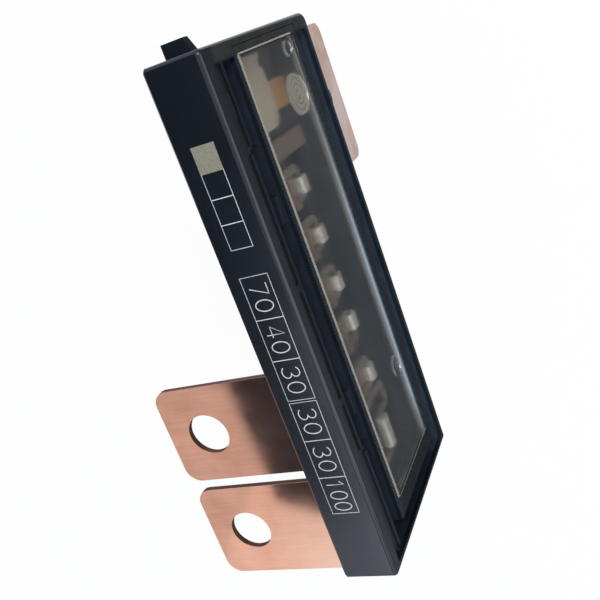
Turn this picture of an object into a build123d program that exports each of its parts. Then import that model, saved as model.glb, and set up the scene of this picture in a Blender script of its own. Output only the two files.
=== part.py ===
from build123d import *
import os
from typing import NamedTuple

# Multi fuse block: a flat black tray moulded round its copper sheet, six fuse links under a clear window.
# Every place is given by three distances in millimetres:
#   along  from the feed end face, which carries the lug, towards the terminal end
#   out    from the back face towards the window
#   down   from the printed edge face towards the supply plate
# The part's own frame has X along, Y out and Z up (against down). Its origin is the middle of the
# first bolted tab's hole, halfway through the sheet.

# Housing tray
housing_length = 100.0
housing_depth = 10.9
plan_corner_radius = 0.9
far_corner_radius = 2.0
window_side_round = 0.9
back_edge_bevel = 0.4
end_wall = 1.4
near_rim = 2.5
far_rim = 1.9
floor_thickness = 1.6

# Channels between the rim and the cover
clip_channel_width = 3.7
clip_channel_depth = 1.1
channel_start = 3.0
thin_wall = 1.0
thin_wall_drop = 0.7
thin_wall_jog = 1.0
jog_from = 17.4
jog_end_margin = 24.5
jog_notch = 1.2
dark_channel_width = 3.2
channel_skin = 1.0
far_groove_width = 5.5
channel_end_radius = 1.2

# Bosses standing on the floor of the clip channel
long_boss_start = 7.4
long_boss_length = 4.8
long_boss_height = 0.6
short_boss_length = 1.5
short_boss_height = 0.35
short_boss_from_feed = 38.0
short_boss_from_end = 35.1

# Cover frame and window pane
opening_width = 25.2
frame_seat_depth = 2.6
frame_clearance = 0.1
frame_near_band = 1.4
frame_far_band = 2.5
frame_feed_band = 1.1
frame_end_band = 3.7
end_recess = 3.6
frame_drop = 0.1
frame_lip = 1.5
pane_gap = 0.1
pane_proud = 0.2
pane_thickness = 1.2
pane_skirt_wall = 0.6
pane_flange = 0.6
pane_corner_radius = 0.6
pane_edge_break = 0.3
pane_boss_depth = 0.7

# Round bosses inside the pane: distance from its feed or terminal end, distance from its far side, radius
feed_bosses = ((10.8, 5.2, 4.0), (2.6, 3.0, 1.5))
end_bosses = ((18.0, 3.4, 2.2),)

# Snap tongues of the cover frame
tongue_length = 5.0
tongue_thickness = 1.0
tongue_reach = 1.1
barb_depth = 0.7
barb_height = 0.8
barb_clearance = 0.1
near_tongue_inset = 27.5
far_tongue_inset = 17.5

# Chamber under the window
chamber_margin = 0.9
chamber_wall_extra = 0.8
trough_start = 19.2

# Locating lug on the feed end
lug_height = 2.4
lug_tip_width = 4.0
lug_root_width = 5.0
lug_start_out = 2.4
lug_start_down = 4.4
lug_thickness = 2.0

# Copper sheet
sheet_thickness = 1.2
sheet_back_out = 4.6
bend_inner_radius = 1.0
rail_start_down = 13.5
rail_width = 6.5
pad_start = 3.9
pad_end = 17.5
pad_width = 15.3
pad_notch_place = 5.8
pad_notch_radius = 1.0
pad_end_radius = 3.0
first_neck_start = 9.6
first_neck_width = 5.3
rail_gap = 2.0
second_neck_width = 3.7
neck_embed = 1.0

# Supply plate past the far edge
supply_start = 3.0
supply_width = 31.0
supply_reach = 19.4
supply_corner_radius = 2.5
supply_hole_edge = 10.2

# Two bolted tabs standing out behind the back face
tab_width = 20.2
tab_gap = 2.4
tab_end_margin = 2.0
tab_skin = 0.9
tab_reach = 25.5
tab_corner_radius = 3.0
tab_hole_edge = 8.8
stud_diameter = 8.0
stud_clearance = 0.4

# Fuse links, pellets and blades. The rail between the second neck and the first tab is shared out in
# bays, one for each small link. The wide link bridges the gap between the tabs and hooks down on its way.
small_circuits = ("70", "40", "30_first", "30_second", "30_third")
wide_circuit = "100"
turned_circuit = "30_second"
link_thickness = 0.6
link_width = 1.5
link_turn_radius = 1.4
link_lap = 1.8
link_drop = 7.1
loop_gap = 3.3
wide_leg_room = 0.7
wide_leg_inset = 0.8
wide_output_inset = 10.2
wide_link_rise = 1.8
hook_width = 4.6
hook_drop = 3.3
pellet_length = 3.2
wide_pellet_length = 6.8
pellet_width = 3.2
pellet_height = 2.2
pellet_round = 0.9
pellet_offset = 0.8
blade_thickness = 0.8
blade_gap = 2.1
blade_reach = 9.0
blade_flange = 1.6
blade_tip_chamfer = 0.9
blade_setback = 2.6
leg_to_blade_gap = 0.4

# Heat-staked posts that hold the sheet down on its shelf
post_diameter = 2.0
post_head_diameter = 3.4
post_head_height = 0.8
post_head_bevel = 0.5
post_clearance = 0.1
post_inset = 2.3
pad_post_inset = 3.1

# Levels and lines that follow from the sizes above
sheet_front_out = sheet_back_out + sheet_thickness
channel_floor_out = sheet_front_out + channel_skin
clip_floor_out = housing_depth - clip_channel_depth
seat_out = housing_depth - frame_seat_depth
wall_top_out = housing_depth - thin_wall_drop
channel_end = housing_length - end_wall
dark_channel_start = near_rim + clip_channel_width + thin_wall
frame_near_down = dark_channel_start + dark_channel_width
opening_down = (frame_near_down + frame_near_band, frame_near_down + frame_near_band + opening_width)
frame_far_down = opening_down[1] + frame_far_band
far_rim_down = frame_far_down + far_groove_width
housing_width = far_rim_down + far_rim
frame_end = channel_end - end_recess
frame_start = end_wall + frame_clearance
opening_along = (frame_start + frame_feed_band, frame_end - frame_end_band)
frame_front_out = housing_depth - frame_drop
lip_back_out = frame_front_out - frame_lip
pane_down = (opening_down[0] + pane_gap, opening_down[1] - pane_gap)
pane_along = (opening_along[0] + pane_gap, opening_along[1] - pane_gap)
pane_front_out = housing_depth + pane_proud
chamber_down = (opening_down[0] + chamber_wall_extra, opening_down[1] - chamber_wall_extra)
chamber_along = (opening_along[0] + chamber_margin, opening_along[1] - chamber_margin)
rail_end_down = rail_start_down + rail_width
rail_start = pad_end + rail_gap
rail_lap_down = rail_end_down - link_lap
bar_down = rail_end_down + link_drop
blade_down = rail_end_down + blade_setback
blade_front_down = blade_down + blade_thickness
last_tab_end = housing_length - tab_end_margin
last_tab_start = last_tab_end - tab_width
first_tab_end = last_tab_start - tab_gap
first_tab_start = first_tab_end - tab_width
hole_radius = (stud_diameter + stud_clearance) / 2
tab_hole_out = tab_hole_edge - tab_reach
supply_end_down = housing_width + supply_reach
supply_middle = supply_start + supply_width / 2
origin_along = first_tab_start + tab_width / 2
origin_down = tab_skin + sheet_thickness / 2
bays_start = rail_start + second_neck_width
bay = (first_tab_end - wide_leg_room - bays_start) / len(small_circuits)
link_span = bay - link_width - loop_gap
blade_width = bay - link_width - leg_to_blade_gap - blade_gap
near_tongue_places = (frame_start + near_tongue_inset, frame_end - near_tongue_inset)
far_tongue_places = (frame_start + far_tongue_inset, (frame_start + frame_end) / 2, frame_end - far_tongue_inset)
short_boss_starts = (channel_start + short_boss_from_feed, channel_end - short_boss_from_end)


class Circuit(NamedTuple):
    """One fused circuit: the name of its pieces, its link's path in plan, its pellet's middle and length."""

    name: str
    path: tuple
    pellet_at: tuple
    pellet_length: float


def small_circuit(name, number):
    """One of the row of small circuits, a loop in the middle of its bay."""
    place = bays_start + (number + 0.5) * bay
    on_rail = place - link_span / 2
    on_output = place + link_span / 2
    path = ((on_rail, rail_lap_down), (on_rail, bar_down), (on_output, bar_down), (on_output, blade_front_down))
    shift = -pellet_offset if name == turned_circuit else pellet_offset
    return Circuit(name, path, (place + shift, bar_down), pellet_length)


def make_wide_circuit():
    """The widest circuit, from the first tab's rail with a hook to the last tab's sheet."""
    on_rail = first_tab_end - wide_leg_inset
    on_output = last_tab_start + wide_output_inset
    hook_end = on_rail + hook_width
    across = bar_down - wide_link_rise
    path = ((on_rail, rail_lap_down), (on_rail, bar_down + hook_drop), (hook_end, bar_down + hook_drop),
            (hook_end, across), (on_output, across), (on_output, rail_lap_down))
    return Circuit(wide_circuit, path, ((hook_end + on_output) / 2, across), wide_pellet_length)


circuits = [small_circuit(name, number) for number, name in enumerate(small_circuits)]


def spot(along, out, down):
    """Point of the part's frame at the three distances."""
    return Vector(along - origin_along, out - tab_hole_out, origin_down - down)


def layer(out):
    """Plane parallel to the back face, where a sketch's x is along and its y is down."""
    return Plane(origin=spot(0, out, 0), x_dir=(1, 0, 0), z_dir=(0, 1, 0))


def station(along):
    """Plane across the block, where a sketch's x is down and its y is out."""
    return Plane(origin=spot(along, 0, 0), x_dir=(0, 0, -1), z_dir=(1, 0, 0))


def patch(along, down, corner=0.0):
    """Rectangle between two distances along and two down, with rounded corners where a radius is given."""
    size = (along[1] - along[0], down[1] - down[0])
    shape = RectangleRounded(*size, corner) if corner else Rectangle(*size)
    return Pos(sum(along) / 2, sum(down) / 2) * shape


def raise_up(sketch, out):
    """Solid over a sketch between two distances out."""
    return extrude(layer(out[0]) * sketch, out[1] - out[0])


def slab(along, down, out, corner=0.0):
    """Solid with a rectangular plan."""
    return raise_up(patch(along, down, corner), out)


def cross_section(points, along):
    """Solid with an outline of (down, out) points, between two distances along."""
    outline = make_face(Polyline(points, close=True))
    return extrude(station(along[0]) * outline, along[1] - along[0])


def bent_tab(start):
    """Sheet that runs down from the shelf to the printed edge and turns back out of the housing."""
    outer = bend_inner_radius + sheet_thickness
    inner_down = tab_skin + sheet_thickness
    profile = make_face(Polyline(
        (tab_skin, -tab_reach), (tab_skin, sheet_front_out), (rail_end_down, sheet_front_out),
        (rail_end_down, sheet_back_out), (inner_down, sheet_back_out), (inner_down, -tab_reach), close=True))
    corners = profile.vertices()
    outer_corner = corners.sort_by_distance(Vector(tab_skin, sheet_front_out))[0]
    inner_corner = corners.sort_by_distance(Vector(inner_down, sheet_back_out))[0]
    profile = fillet(outer_corner, outer)
    inner_corner = profile.vertices().sort_by_distance(inner_corner.center())[0]
    profile = fillet(inner_corner, bend_inner_radius)
    sheet = extrude(station(start) * profile, tab_width)
    tip_corners = sheet.edges().filter_by(Axis.Z).group_by(Axis.Y)[0]
    sheet = fillet(tip_corners, tab_corner_radius)
    hole_at = spot(start + tab_width / 2, tab_hole_out, origin_down)
    return sheet - Pos(*hole_at) * Cylinder(hole_radius, 2 * sheet_thickness)


def post_spots():
    """Plan places of the heat-staked posts: on the pad, between the bays and on the last tab's sheet."""
    down = rail_start_down + post_inset
    places = [pad_start + pad_post_inset]
    places += [bays_start + number * bay for number in range(1, len(small_circuits))]
    places.append(last_tab_start + tab_width / 3)
    return [(along, down) for along in places]


def make_supply_bus():
    """Sheet in one piece: supply plate, two necks, pad, rail and the first bolted tab."""
    near_side = chamber_down[1] + neck_embed
    plate = patch((supply_start, supply_start + supply_width), (near_side, supply_end_down))
    plate = fillet(plate.vertices().group_by(Axis.Y)[-1], supply_corner_radius)
    plate -= Pos(supply_middle, supply_end_down - supply_hole_edge) * Circle(hole_radius)
    pad_edge = rail_start_down + pad_width
    pad = patch((pad_start, pad_end), (rail_start_down, pad_edge))
    end_corner = pad.vertices().sort_by_distance(Vector(pad_end, pad_edge))[0]
    pad = fillet(end_corner, pad_end_radius)
    pad -= Pos(pad_notch_place, pad_edge) * Circle(pad_notch_radius)
    first_neck = patch((first_neck_start, first_neck_start + first_neck_width),
                       (rail_start_down + pad_width / 2, near_side + supply_corner_radius))
    second_neck = patch((rail_start, rail_start + second_neck_width),
                        (rail_start_down, near_side + supply_corner_radius))
    rail = patch((rail_start, first_tab_end), (rail_start_down, rail_end_down))
    sheet = raise_up(plate + pad + first_neck + second_neck + rail, (sheet_back_out, sheet_front_out))
    return punched(sheet + bent_tab(first_tab_start))


def make_output_terminal():
    """Sheet of the widest circuit: a pad on the shelf and the second bolted tab."""
    return punched(bent_tab(last_tab_start))


def punched(sheet):
    """Sheet with its clearance holes for the posts."""
    for along, down in post_spots():
        sheet -= Pos(*spot(along, sheet_back_out, down)) * Rot(90, 0, 0) * Cylinder(
            post_diameter / 2 + post_clearance, 4 * sheet_thickness)
    return sheet


def make_link(circuit):
    """Stamped link: a strip of even width along its path, with rounded turns and both ends lapped."""
    runs = [(Vector(*end) - Vector(*start)).length for start, end in zip(circuit.path, circuit.path[1:])]
    turn = min(link_turn_radius, min(runs) / 2.2)
    path = FilletPolyline(*circuit.path, radius=turn)
    return raise_up(trace(path, link_width), (sheet_front_out, sheet_front_out + link_thickness))


def make_pellet(circuit, link):
    """Tin pellet crimped round the middle of its link."""
    along, down = circuit.pellet_at
    middle = spot(along, sheet_front_out + link_thickness / 2, down)
    blank = Pos(*middle) * Box(circuit.pellet_length, pellet_height, pellet_width)
    blank = fillet(blank.edges().filter_by(Axis.X), pellet_round)
    return blank - link


def blade_along(circuit):
    """Two ends of a blade along the block, clear of the leg on the rail."""
    start = circuit.path[0][0] + link_width / 2 + leg_to_blade_gap
    return start, start + blade_width


def make_blade(circuit):
    """Blade standing out behind the back face, its head turned over under the link's leg."""
    head_end = blade_front_down + blade_flange
    head_back = sheet_front_out - blade_thickness
    profile = make_face(Polyline(
        (blade_down, -blade_reach), (blade_down, sheet_front_out), (head_end, sheet_front_out),
        (head_end, head_back), (blade_front_down, head_back), (blade_front_down, -blade_reach), close=True))
    along = blade_along(circuit)
    blade = extrude(station(along[0]) * profile, along[1] - along[0])
    tip = blade.edges().filter_by(Axis.Z).group_by(Axis.Y)[0]
    return chamfer(tip, blade_tip_chamfer)


def make_tray(metal):
    """Moulded tray, with the exact beds of the metal pieces that it is moulded round."""
    plan = patch((0, housing_length), (0, housing_width))
    corners = plan.vertices().sort_by_distance(Vector(0, housing_width))
    plan = fillet(corners[1:], plan_corner_radius)
    far_corner = plan.vertices().sort_by_distance(Vector(0, housing_width))[0]
    plan = fillet(far_corner, far_corner_radius)
    tray = raise_up(plan, (0, housing_depth))
    tray = fillet(tray.faces().sort_by(Axis.Y)[-1].edges(), window_side_round)
    tray = chamfer(tray.faces().sort_by(Axis.Y)[0].edges(), back_edge_bevel)
    top = housing_depth + window_side_round
    tray -= near_channels(top)
    tray -= slab((end_wall, frame_end), (frame_near_down, frame_far_down), (seat_out, top))
    tray -= raise_up(far_groove_plan(), (channel_floor_out, top))
    shelf_down = (chamber_down[0], blade_down)
    tray -= slab(chamber_along, chamber_down, (sheet_back_out, top), pane_skirt_wall)
    trough_along = (trough_start, chamber_along[1])
    tray -= slab(trough_along, (shelf_down[1], chamber_down[1]), (floor_thickness, top), pane_skirt_wall)
    tray += channel_bosses()
    tray += lug()
    for place in near_tongue_places:
        tray -= catch_pocket(place, frame_near_down, 1)
    for place in far_tongue_places:
        tray -= catch_pocket(place, frame_far_down, -1)
    for piece in metal:
        tray -= piece
    return tray + posts()


def near_channels(top):
    """Clip channel and dark channel either side of the jogged thin wall, as one solid to cut away."""
    whole = (near_rim, frame_near_down)
    cut = slab((channel_start, channel_end), whole, (wall_top_out, top), channel_end_radius)
    jog_to = housing_length - jog_end_margin
    runs = (((channel_start, jog_from), 0.0), ((jog_from, jog_to), thin_wall_jog), ((jog_to, channel_end), 0.0))
    for along, jog in runs:
        wall_start = dark_channel_start - thin_wall - jog
        cut += slab(along, (near_rim, wall_start), (clip_floor_out, top), channel_end_radius / 2)
        cut += slab(along, (wall_start + thin_wall, frame_near_down), (channel_floor_out, top),
                    channel_end_radius / 2)
    for along in (jog_from, jog_to):
        cut += slab((along - jog_notch / 2, along + jog_notch / 2), whole, (clip_floor_out, top))
    return cut


def far_groove_plan():
    """Plan of the groove past the cover: along the far side and across the terminal end."""
    far_run = patch((channel_start, channel_end), (frame_far_down, far_rim_down), channel_end_radius)
    end_run = patch((frame_end, channel_end), (frame_near_down - channel_end_radius, far_rim_down),
                    channel_end_radius)
    return far_run + end_run


def channel_bosses():
    """Rounded bosses on the floor of the clip channel."""
    width = clip_channel_width - thin_wall_jog
    down = (near_rim, near_rim + width)
    bosses = slab((long_boss_start, long_boss_start + long_boss_length), down,
                  (clip_floor_out, clip_floor_out + long_boss_height), width / 2.2)
    for start in short_boss_starts:
        bosses += slab((start, start + short_boss_length), down, (clip_floor_out, clip_floor_out + short_boss_height))
    return bosses


def lug():
    """Locating lug on the feed end face, with one slanted side."""
    base = lug_start_out
    plan = make_face(Polyline(
        (0, base), (-lug_height, base), (-lug_height, base + lug_tip_width), (0, base + lug_root_width),
        (end_wall, base + lug_root_width), (end_wall, base), close=True))
    side = Plane(origin=spot(0, 0, lug_start_down), x_dir=(1, 0, 0), z_dir=(0, 0, 1))
    return extrude(side * plan, -lug_thickness)


def posts():
    """Posts through the sheet with the mushroom heads that the staking leaves."""
    group = None
    for along, down in post_spots():
        shank = Pos(*spot(along, (sheet_back_out + sheet_front_out) / 2, down)) * Rot(90, 0, 0) * Cylinder(
            post_diameter / 2, sheet_thickness)
        head_out = sheet_front_out + post_head_height / 2
        head = Pos(*spot(along, head_out, down)) * Rot(90, 0, 0) * Cylinder(
            post_head_diameter / 2, post_head_height)
        rim = head.edges().group_by(Axis.Y)[-1]
        stake = shank + chamfer(rim, post_head_bevel)
        group = stake if group is None else group + stake
    return group


def catch_pocket(place, wall_down, inward):
    """Pocket in the seat wall for a tongue's barb, with its clearance."""
    half = tongue_length / 2 + barb_clearance
    depth = wall_down + inward * (barb_depth + barb_clearance)
    low = channel_floor_out
    high = low + barb_height + 2 * barb_clearance
    return slab((place - half, place + half), tuple(sorted((wall_down, depth))), (low, high))


def make_cover_frame():
    """Frame that drops on the seat and snaps over it, with a lip that holds the pane's flange."""
    along = (frame_start, frame_end)
    down = (frame_near_down, frame_far_down)
    frame = slab(along, down, (seat_out, frame_front_out))
    rebate = pane_flange + pane_gap
    opening = slab(opening_along, opening_down, (seat_out, housing_depth), pane_corner_radius)
    pocket = slab((opening_along[0] - rebate, opening_along[1] + rebate),
                  (opening_down[0] - rebate, opening_down[1] + rebate), (seat_out, lip_back_out), pane_corner_radius)
    frame = frame - opening - pocket
    for place in near_tongue_places:
        frame += tongue(place, frame_near_down, 1)
    for place in far_tongue_places:
        frame += tongue(place, frame_far_down, -1)
    return frame


def tongue(place, wall_down, inward):
    """Snap tongue outside the seat wall; inward is 1 where the wall lies further down."""
    back = channel_floor_out + barb_clearance
    front = seat_out + tongue_reach
    face = wall_down - inward * tongue_thickness
    barb_front = back + barb_height
    outline = [(face, back), (face, front), (wall_down, front), (wall_down, barb_front),
               (wall_down + inward * barb_depth, barb_front), (wall_down, back)]
    return cross_section(outline, (place - tongue_length / 2, place + tongue_length / 2))


def make_pane():
    """Clear pane: a shallow box with a flange under the frame's lip and round bosses inside."""
    body = slab(pane_along, pane_down, (seat_out, pane_front_out), pane_corner_radius)
    body = chamfer(body.faces().sort_by(Axis.Y)[-1].edges(), pane_edge_break)
    flange = slab((pane_along[0] - pane_flange, pane_along[1] + pane_flange),
                  (pane_down[0] - pane_flange, pane_down[1] + pane_flange),
                  (seat_out, lip_back_out), pane_corner_radius)
    hollow_along = (pane_along[0] + pane_skirt_wall, pane_along[1] - pane_skirt_wall)
    hollow_down = (pane_down[0] + pane_skirt_wall, pane_down[1] - pane_skirt_wall)
    sheet_back = pane_front_out - pane_thickness
    hollow = slab(hollow_along, hollow_down, (seat_out, sheet_back), pane_corner_radius / 2)
    pane = body + flange - hollow
    bosses = [(pane_along[0] + from_end, *rest) for from_end, *rest in feed_bosses]
    bosses += [(pane_along[1] - from_end, *rest) for from_end, *rest in end_bosses]
    for along, from_far_side, radius in bosses:
        middle = spot(along, sheet_back - pane_boss_depth / 2, pane_down[1] - from_far_side)
        pane += Pos(*middle) * Rot(90, 0, 0) * Cylinder(radius, pane_boss_depth)
    return pane


supply_bus = make_supply_bus()
output_terminal = make_output_terminal()
pieces = {"supply_bus": supply_bus, "output_terminal": output_terminal}
for circuit in circuits:
    pieces["output_blade_" + circuit.name] = make_blade(circuit)
pieces_in_tray = list(pieces.values())
for circuit in circuits + [make_wide_circuit()]:
    link = make_link(circuit)
    pieces["fuse_link_" + circuit.name] = link
    pieces["tin_pellet_" + circuit.name] = make_pellet(circuit, link)
pieces["housing_tray"] = make_tray(pieces_in_tray)
pieces["cover_frame"] = make_cover_frame()
pieces["window_pane"] = make_pane()

os.makedirs("parts", exist_ok=True)
for name, shape in pieces.items():
    export_step(shape, "parts/" + name + ".step")
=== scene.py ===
"""Multi fuse block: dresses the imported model, prints its ratings and lights it on a white table."""

import logging
import math
from dataclasses import dataclass
from enum import Enum
from typing import Any, Iterable, Sequence

import bmesh
import bpy
from mathutils import Matrix, Vector


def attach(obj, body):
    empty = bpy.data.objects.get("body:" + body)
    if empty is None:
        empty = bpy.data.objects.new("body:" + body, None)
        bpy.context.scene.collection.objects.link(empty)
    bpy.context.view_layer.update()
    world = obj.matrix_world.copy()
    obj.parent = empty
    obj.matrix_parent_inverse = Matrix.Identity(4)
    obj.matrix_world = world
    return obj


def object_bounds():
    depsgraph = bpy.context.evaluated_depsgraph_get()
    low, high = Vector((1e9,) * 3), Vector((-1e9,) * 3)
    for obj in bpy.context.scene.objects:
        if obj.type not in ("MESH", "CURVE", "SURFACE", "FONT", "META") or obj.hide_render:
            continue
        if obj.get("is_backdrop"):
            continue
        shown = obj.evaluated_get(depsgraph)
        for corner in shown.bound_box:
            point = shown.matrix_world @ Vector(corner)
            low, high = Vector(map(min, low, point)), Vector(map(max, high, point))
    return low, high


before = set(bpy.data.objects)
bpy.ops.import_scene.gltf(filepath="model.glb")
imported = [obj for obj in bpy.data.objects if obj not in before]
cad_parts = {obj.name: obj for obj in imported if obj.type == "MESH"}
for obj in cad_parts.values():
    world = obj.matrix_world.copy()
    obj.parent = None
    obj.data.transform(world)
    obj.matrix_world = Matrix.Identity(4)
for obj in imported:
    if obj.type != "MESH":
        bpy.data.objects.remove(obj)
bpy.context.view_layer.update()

MM = 0.001
BODY = "root"
# A fade too thin to see, for the sharp edge of a mask.
HAIR_MM = 0.001

Pair = tuple[float, float]
Triple = tuple[float, float, float]
Mesh = bpy.types.Mesh
Tree = bpy.types.NodeTree
Socket = bpy.types.NodeSocket

log = logging.getLogger("fuse_block")


@dataclass(frozen=True)
class Layout:
    """The part's main places, in millimetres along, out and down, as its source gives them."""

    origin_along: float = 65.3
    origin_out: float = -16.7
    origin_down: float = 1.5
    length: float = 100.0
    width: float = 46.9
    rail_lap_down: float = 18.2
    link_front_out: float = 6.4
    first_loop_along: float = 28.35
    loop_pitch: float = 10.3
    loop_half_span: float = 2.75
    wide_legs_along: Pair = (74.6, 88.0)
    blade_front_down: float = 23.4
    pane_along: Pair = (2.7, 91.2)
    pane_down: Pair = (11.9, 36.9)
    pane_front_out: float = 11.1
    pad_along: Pair = (3.9, 17.5)
    pad_end_down: float = 28.8

    def x(self, along: float) -> float:
        """Returns X in metres for a distance from the feed end face."""
        return (along - self.origin_along) * MM

    def y(self, out: float) -> float:
        """Returns Y in metres for a distance from the back face."""
        return (out - self.origin_out) * MM

    def z(self, down: float) -> float:
        """Returns Z in metres for a distance from the printed edge face."""
        return (self.origin_down - down) * MM

    def spot(self, along: float, out: float, down: float) -> Vector:
        """Turns a place on the block into the shared frame.

        Args:
            along: Distance from the feed end face in millimetres.
            out: Distance from the back face in millimetres.
            down: Distance from the printed edge face in millimetres.

        Returns:
            The point in metres.
        """
        return Vector((self.x(along), self.y(out), self.z(down)))


LAYOUT = Layout()


def linear(code: str) -> tuple[float, float, float, float]:
    """Turns a colour as the screen shows it into the linear values that a shader takes.

    Args:
        code: Six hex digits, with or without a leading hash.

    Returns:
        Red, green, blue and full opacity.
    """
    digits = code.lstrip("#")
    levels = [int(digits[i:i + 2], 16) / 255 for i in (0, 2, 4)]
    flat = [v / 12.92 if v <= 0.04045 else ((v + 0.055) / 1.055) ** 2.4 for v in levels]
    return flat[0], flat[1], flat[2], 1.0


def add_node(tree: Tree, kind: str, settings: dict[str, Any] | None = None,
             values: dict[Any, Any] | None = None) -> bpy.types.Node:
    """Adds a node to a tree with its settings, values and links.

    Args:
        tree: Shader or geometry tree that gets the node.
        kind: Type name of the node.
        settings: Attributes of the node itself, such as its operation.
        values: Value or incoming socket for each input, by name or number.

    Returns:
        The new node.
    """
    node = tree.nodes.new(kind)
    for name, value in (settings or {}).items():
        setattr(node, name, value)
    for key, value in (values or {}).items():
        if isinstance(value, Socket):
            tree.links.new(value, node.inputs[key])
        else:
            node.inputs[key].default_value = value
    return node


class Finish:
    """A material built once and handed out by name."""

    title: str

    def material(self) -> bpy.types.Material:
        """Returns the finish's material, built on first use."""
        found = bpy.data.materials.get(self.title)
        if found:
            return found
        made = bpy.data.materials.new(self.title)
        made.use_nodes = True
        tree = made.node_tree
        tree.nodes.clear()
        add_node(tree, "ShaderNodeOutputMaterial", values={"Surface": self.shade(tree)})
        return made

    def shade(self, tree: Tree) -> Socket:
        """Builds the surface; each finish has its own.

        Args:
            tree: Empty shader tree of the new material.

        Returns:
            The shader socket for the surface.
        """
        raise NotImplementedError


def coordinates(tree: Tree) -> dict[str, Socket]:
    """Returns the object's coordinates, as one vector under "place" and one by one under X, Y and Z."""
    place = add_node(tree, "ShaderNodeTexCoord").outputs["Object"]
    axes = add_node(tree, "ShaderNodeSeparateXYZ", values={0: place}).outputs
    return {"place": place, **{name: axes[name] for name in "XYZ"}}


def grains(tree: Tree, size_mm: float, stretch: Sequence[float] = (1.0, 1.0, 1.0), detail: float = 2.0,
           rough: float = 0.5) -> Socket:
    """Noise whose lumps have a real size on the object.

    Args:
        tree: Tree to add to.
        size_mm: Size of one lump in millimetres.
        stretch: How many times longer the lumps are along each axis.
        detail: Octaves of finer noise.
        rough: Strength of the finer octaves.

    Returns:
        Socket with values around one half.
    """
    place = add_node(tree, "ShaderNodeTexCoord").outputs["Object"]
    scale = tuple(1.0 / (size_mm * MM * s) for s in stretch)
    place = add_node(tree, "ShaderNodeMapping", values={"Vector": place, "Scale": scale}).outputs[0]
    noise = add_node(tree, "ShaderNodeTexNoise", values={
        "Vector": place, "Scale": 1.0, "Detail": detail, "Roughness": rough})
    return noise.outputs[0]


def spread(tree: Tree, value: Socket, low: float, high: float, start: float = 0.3, end: float = 0.7) -> Socket:
    """Spreads a noise or a coordinate over a range of values, and holds the ends beyond it.

    Args:
        tree: Tree to add to.
        value: Socket with the noise or coordinate.
        low: Result where the value is at start or before it.
        high: Result where the value is at end or past it.
        start: Value that gives low.
        end: Value that gives high.

    Returns:
        Socket with the spread value.
    """
    return add_node(tree, "ShaderNodeMapRange", values={
        "Value": value, "From Min": start, "From Max": end, "To Min": low, "To Max": high}).outputs[0]


def blend(tree: Tree, factor: Socket, first: Any, second: Any) -> Socket:
    """Mixes two numbers, or two colours.

    Args:
        tree: Tree to add to.
        factor: Socket that is 0 for the first and 1 for the second.
        first: Number, hex colour or socket.
        second: The same kind as the first.

    Returns:
        Socket with the mixed value.
    """
    first, second = (linear(end) if isinstance(end, str) else end for end in (first, second))
    coloured = isinstance(second, tuple) or getattr(second, "type", "") == "RGBA"
    kind, start, output = ("RGBA", 6, 2) if coloured else ("FLOAT", 2, 0)
    return add_node(tree, "ShaderNodeMix", {"data_type": kind},
                    {0: factor, start: first, start + 1: second}).outputs[output]


def combine(tree: Tree, operation: str, *terms: Any) -> Socket:
    """Carries one operation through its terms, from the first to the last.

    Args:
        tree: Tree to add to.
        operation: Name of the operation.
        terms: Numbers or sockets; an operation on a single value takes one.

    Returns:
        Socket with the result.
    """
    result, *rest = terms
    for step in [{1: term} for term in rest] or [{}]:
        result = add_node(tree, "ShaderNodeMath", {"operation": operation}, {0: result, **step}).outputs[0]
    return result


def inside_box(tree: Tree, low: Vector, high: Vector, blur_mm: float) -> Socket:
    """Mask over an upright box seen from the front, with a soft edge.

    Args:
        tree: Tree to add to.
        low: One corner of the box in metres.
        high: The opposite corner.
        blur_mm: Width of the soft edge in millimetres.

    Returns:
        Socket that is 1 inside, however far in front of the low corner, and 0 outside.
    """
    axes = coordinates(tree)
    past = []
    for axis, name in ((0, "X"), (2, "Z")):
        middle = (low[axis] + high[axis]) / 2
        half = abs(high[axis] - low[axis]) / 2
        offset = combine(tree, "ABSOLUTE", combine(tree, "SUBTRACT", axes[name], middle))
        past.append(combine(tree, "SUBTRACT", offset, half))
    across = spread(tree, combine(tree, "MAXIMUM", *past), 1.0, 0.0, -blur_mm * MM, 0.0)
    return combine(tree, "MULTIPLY", across, combine(tree, "GREATER_THAN", axes["Y"], low[1]))


def relief(tree: Tree, *layers: tuple[Socket, float, float]) -> Socket:
    """Raises a surface by height patterns, one on top of the other.

    Args:
        tree: Tree to add to.
        layers: For each pattern its socket, the height of its unit in millimetres and the share that is used.

    Returns:
        Socket with the new normal.
    """
    below: dict[str, Socket] = {}
    for height, depth_mm, share in layers:
        values = {"Height": height, "Distance": depth_mm * MM, "Strength": share, **below}
        below = {"Normal": add_node(tree, "ShaderNodeBump", values=values).outputs[0]}
    return below["Normal"]


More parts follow.
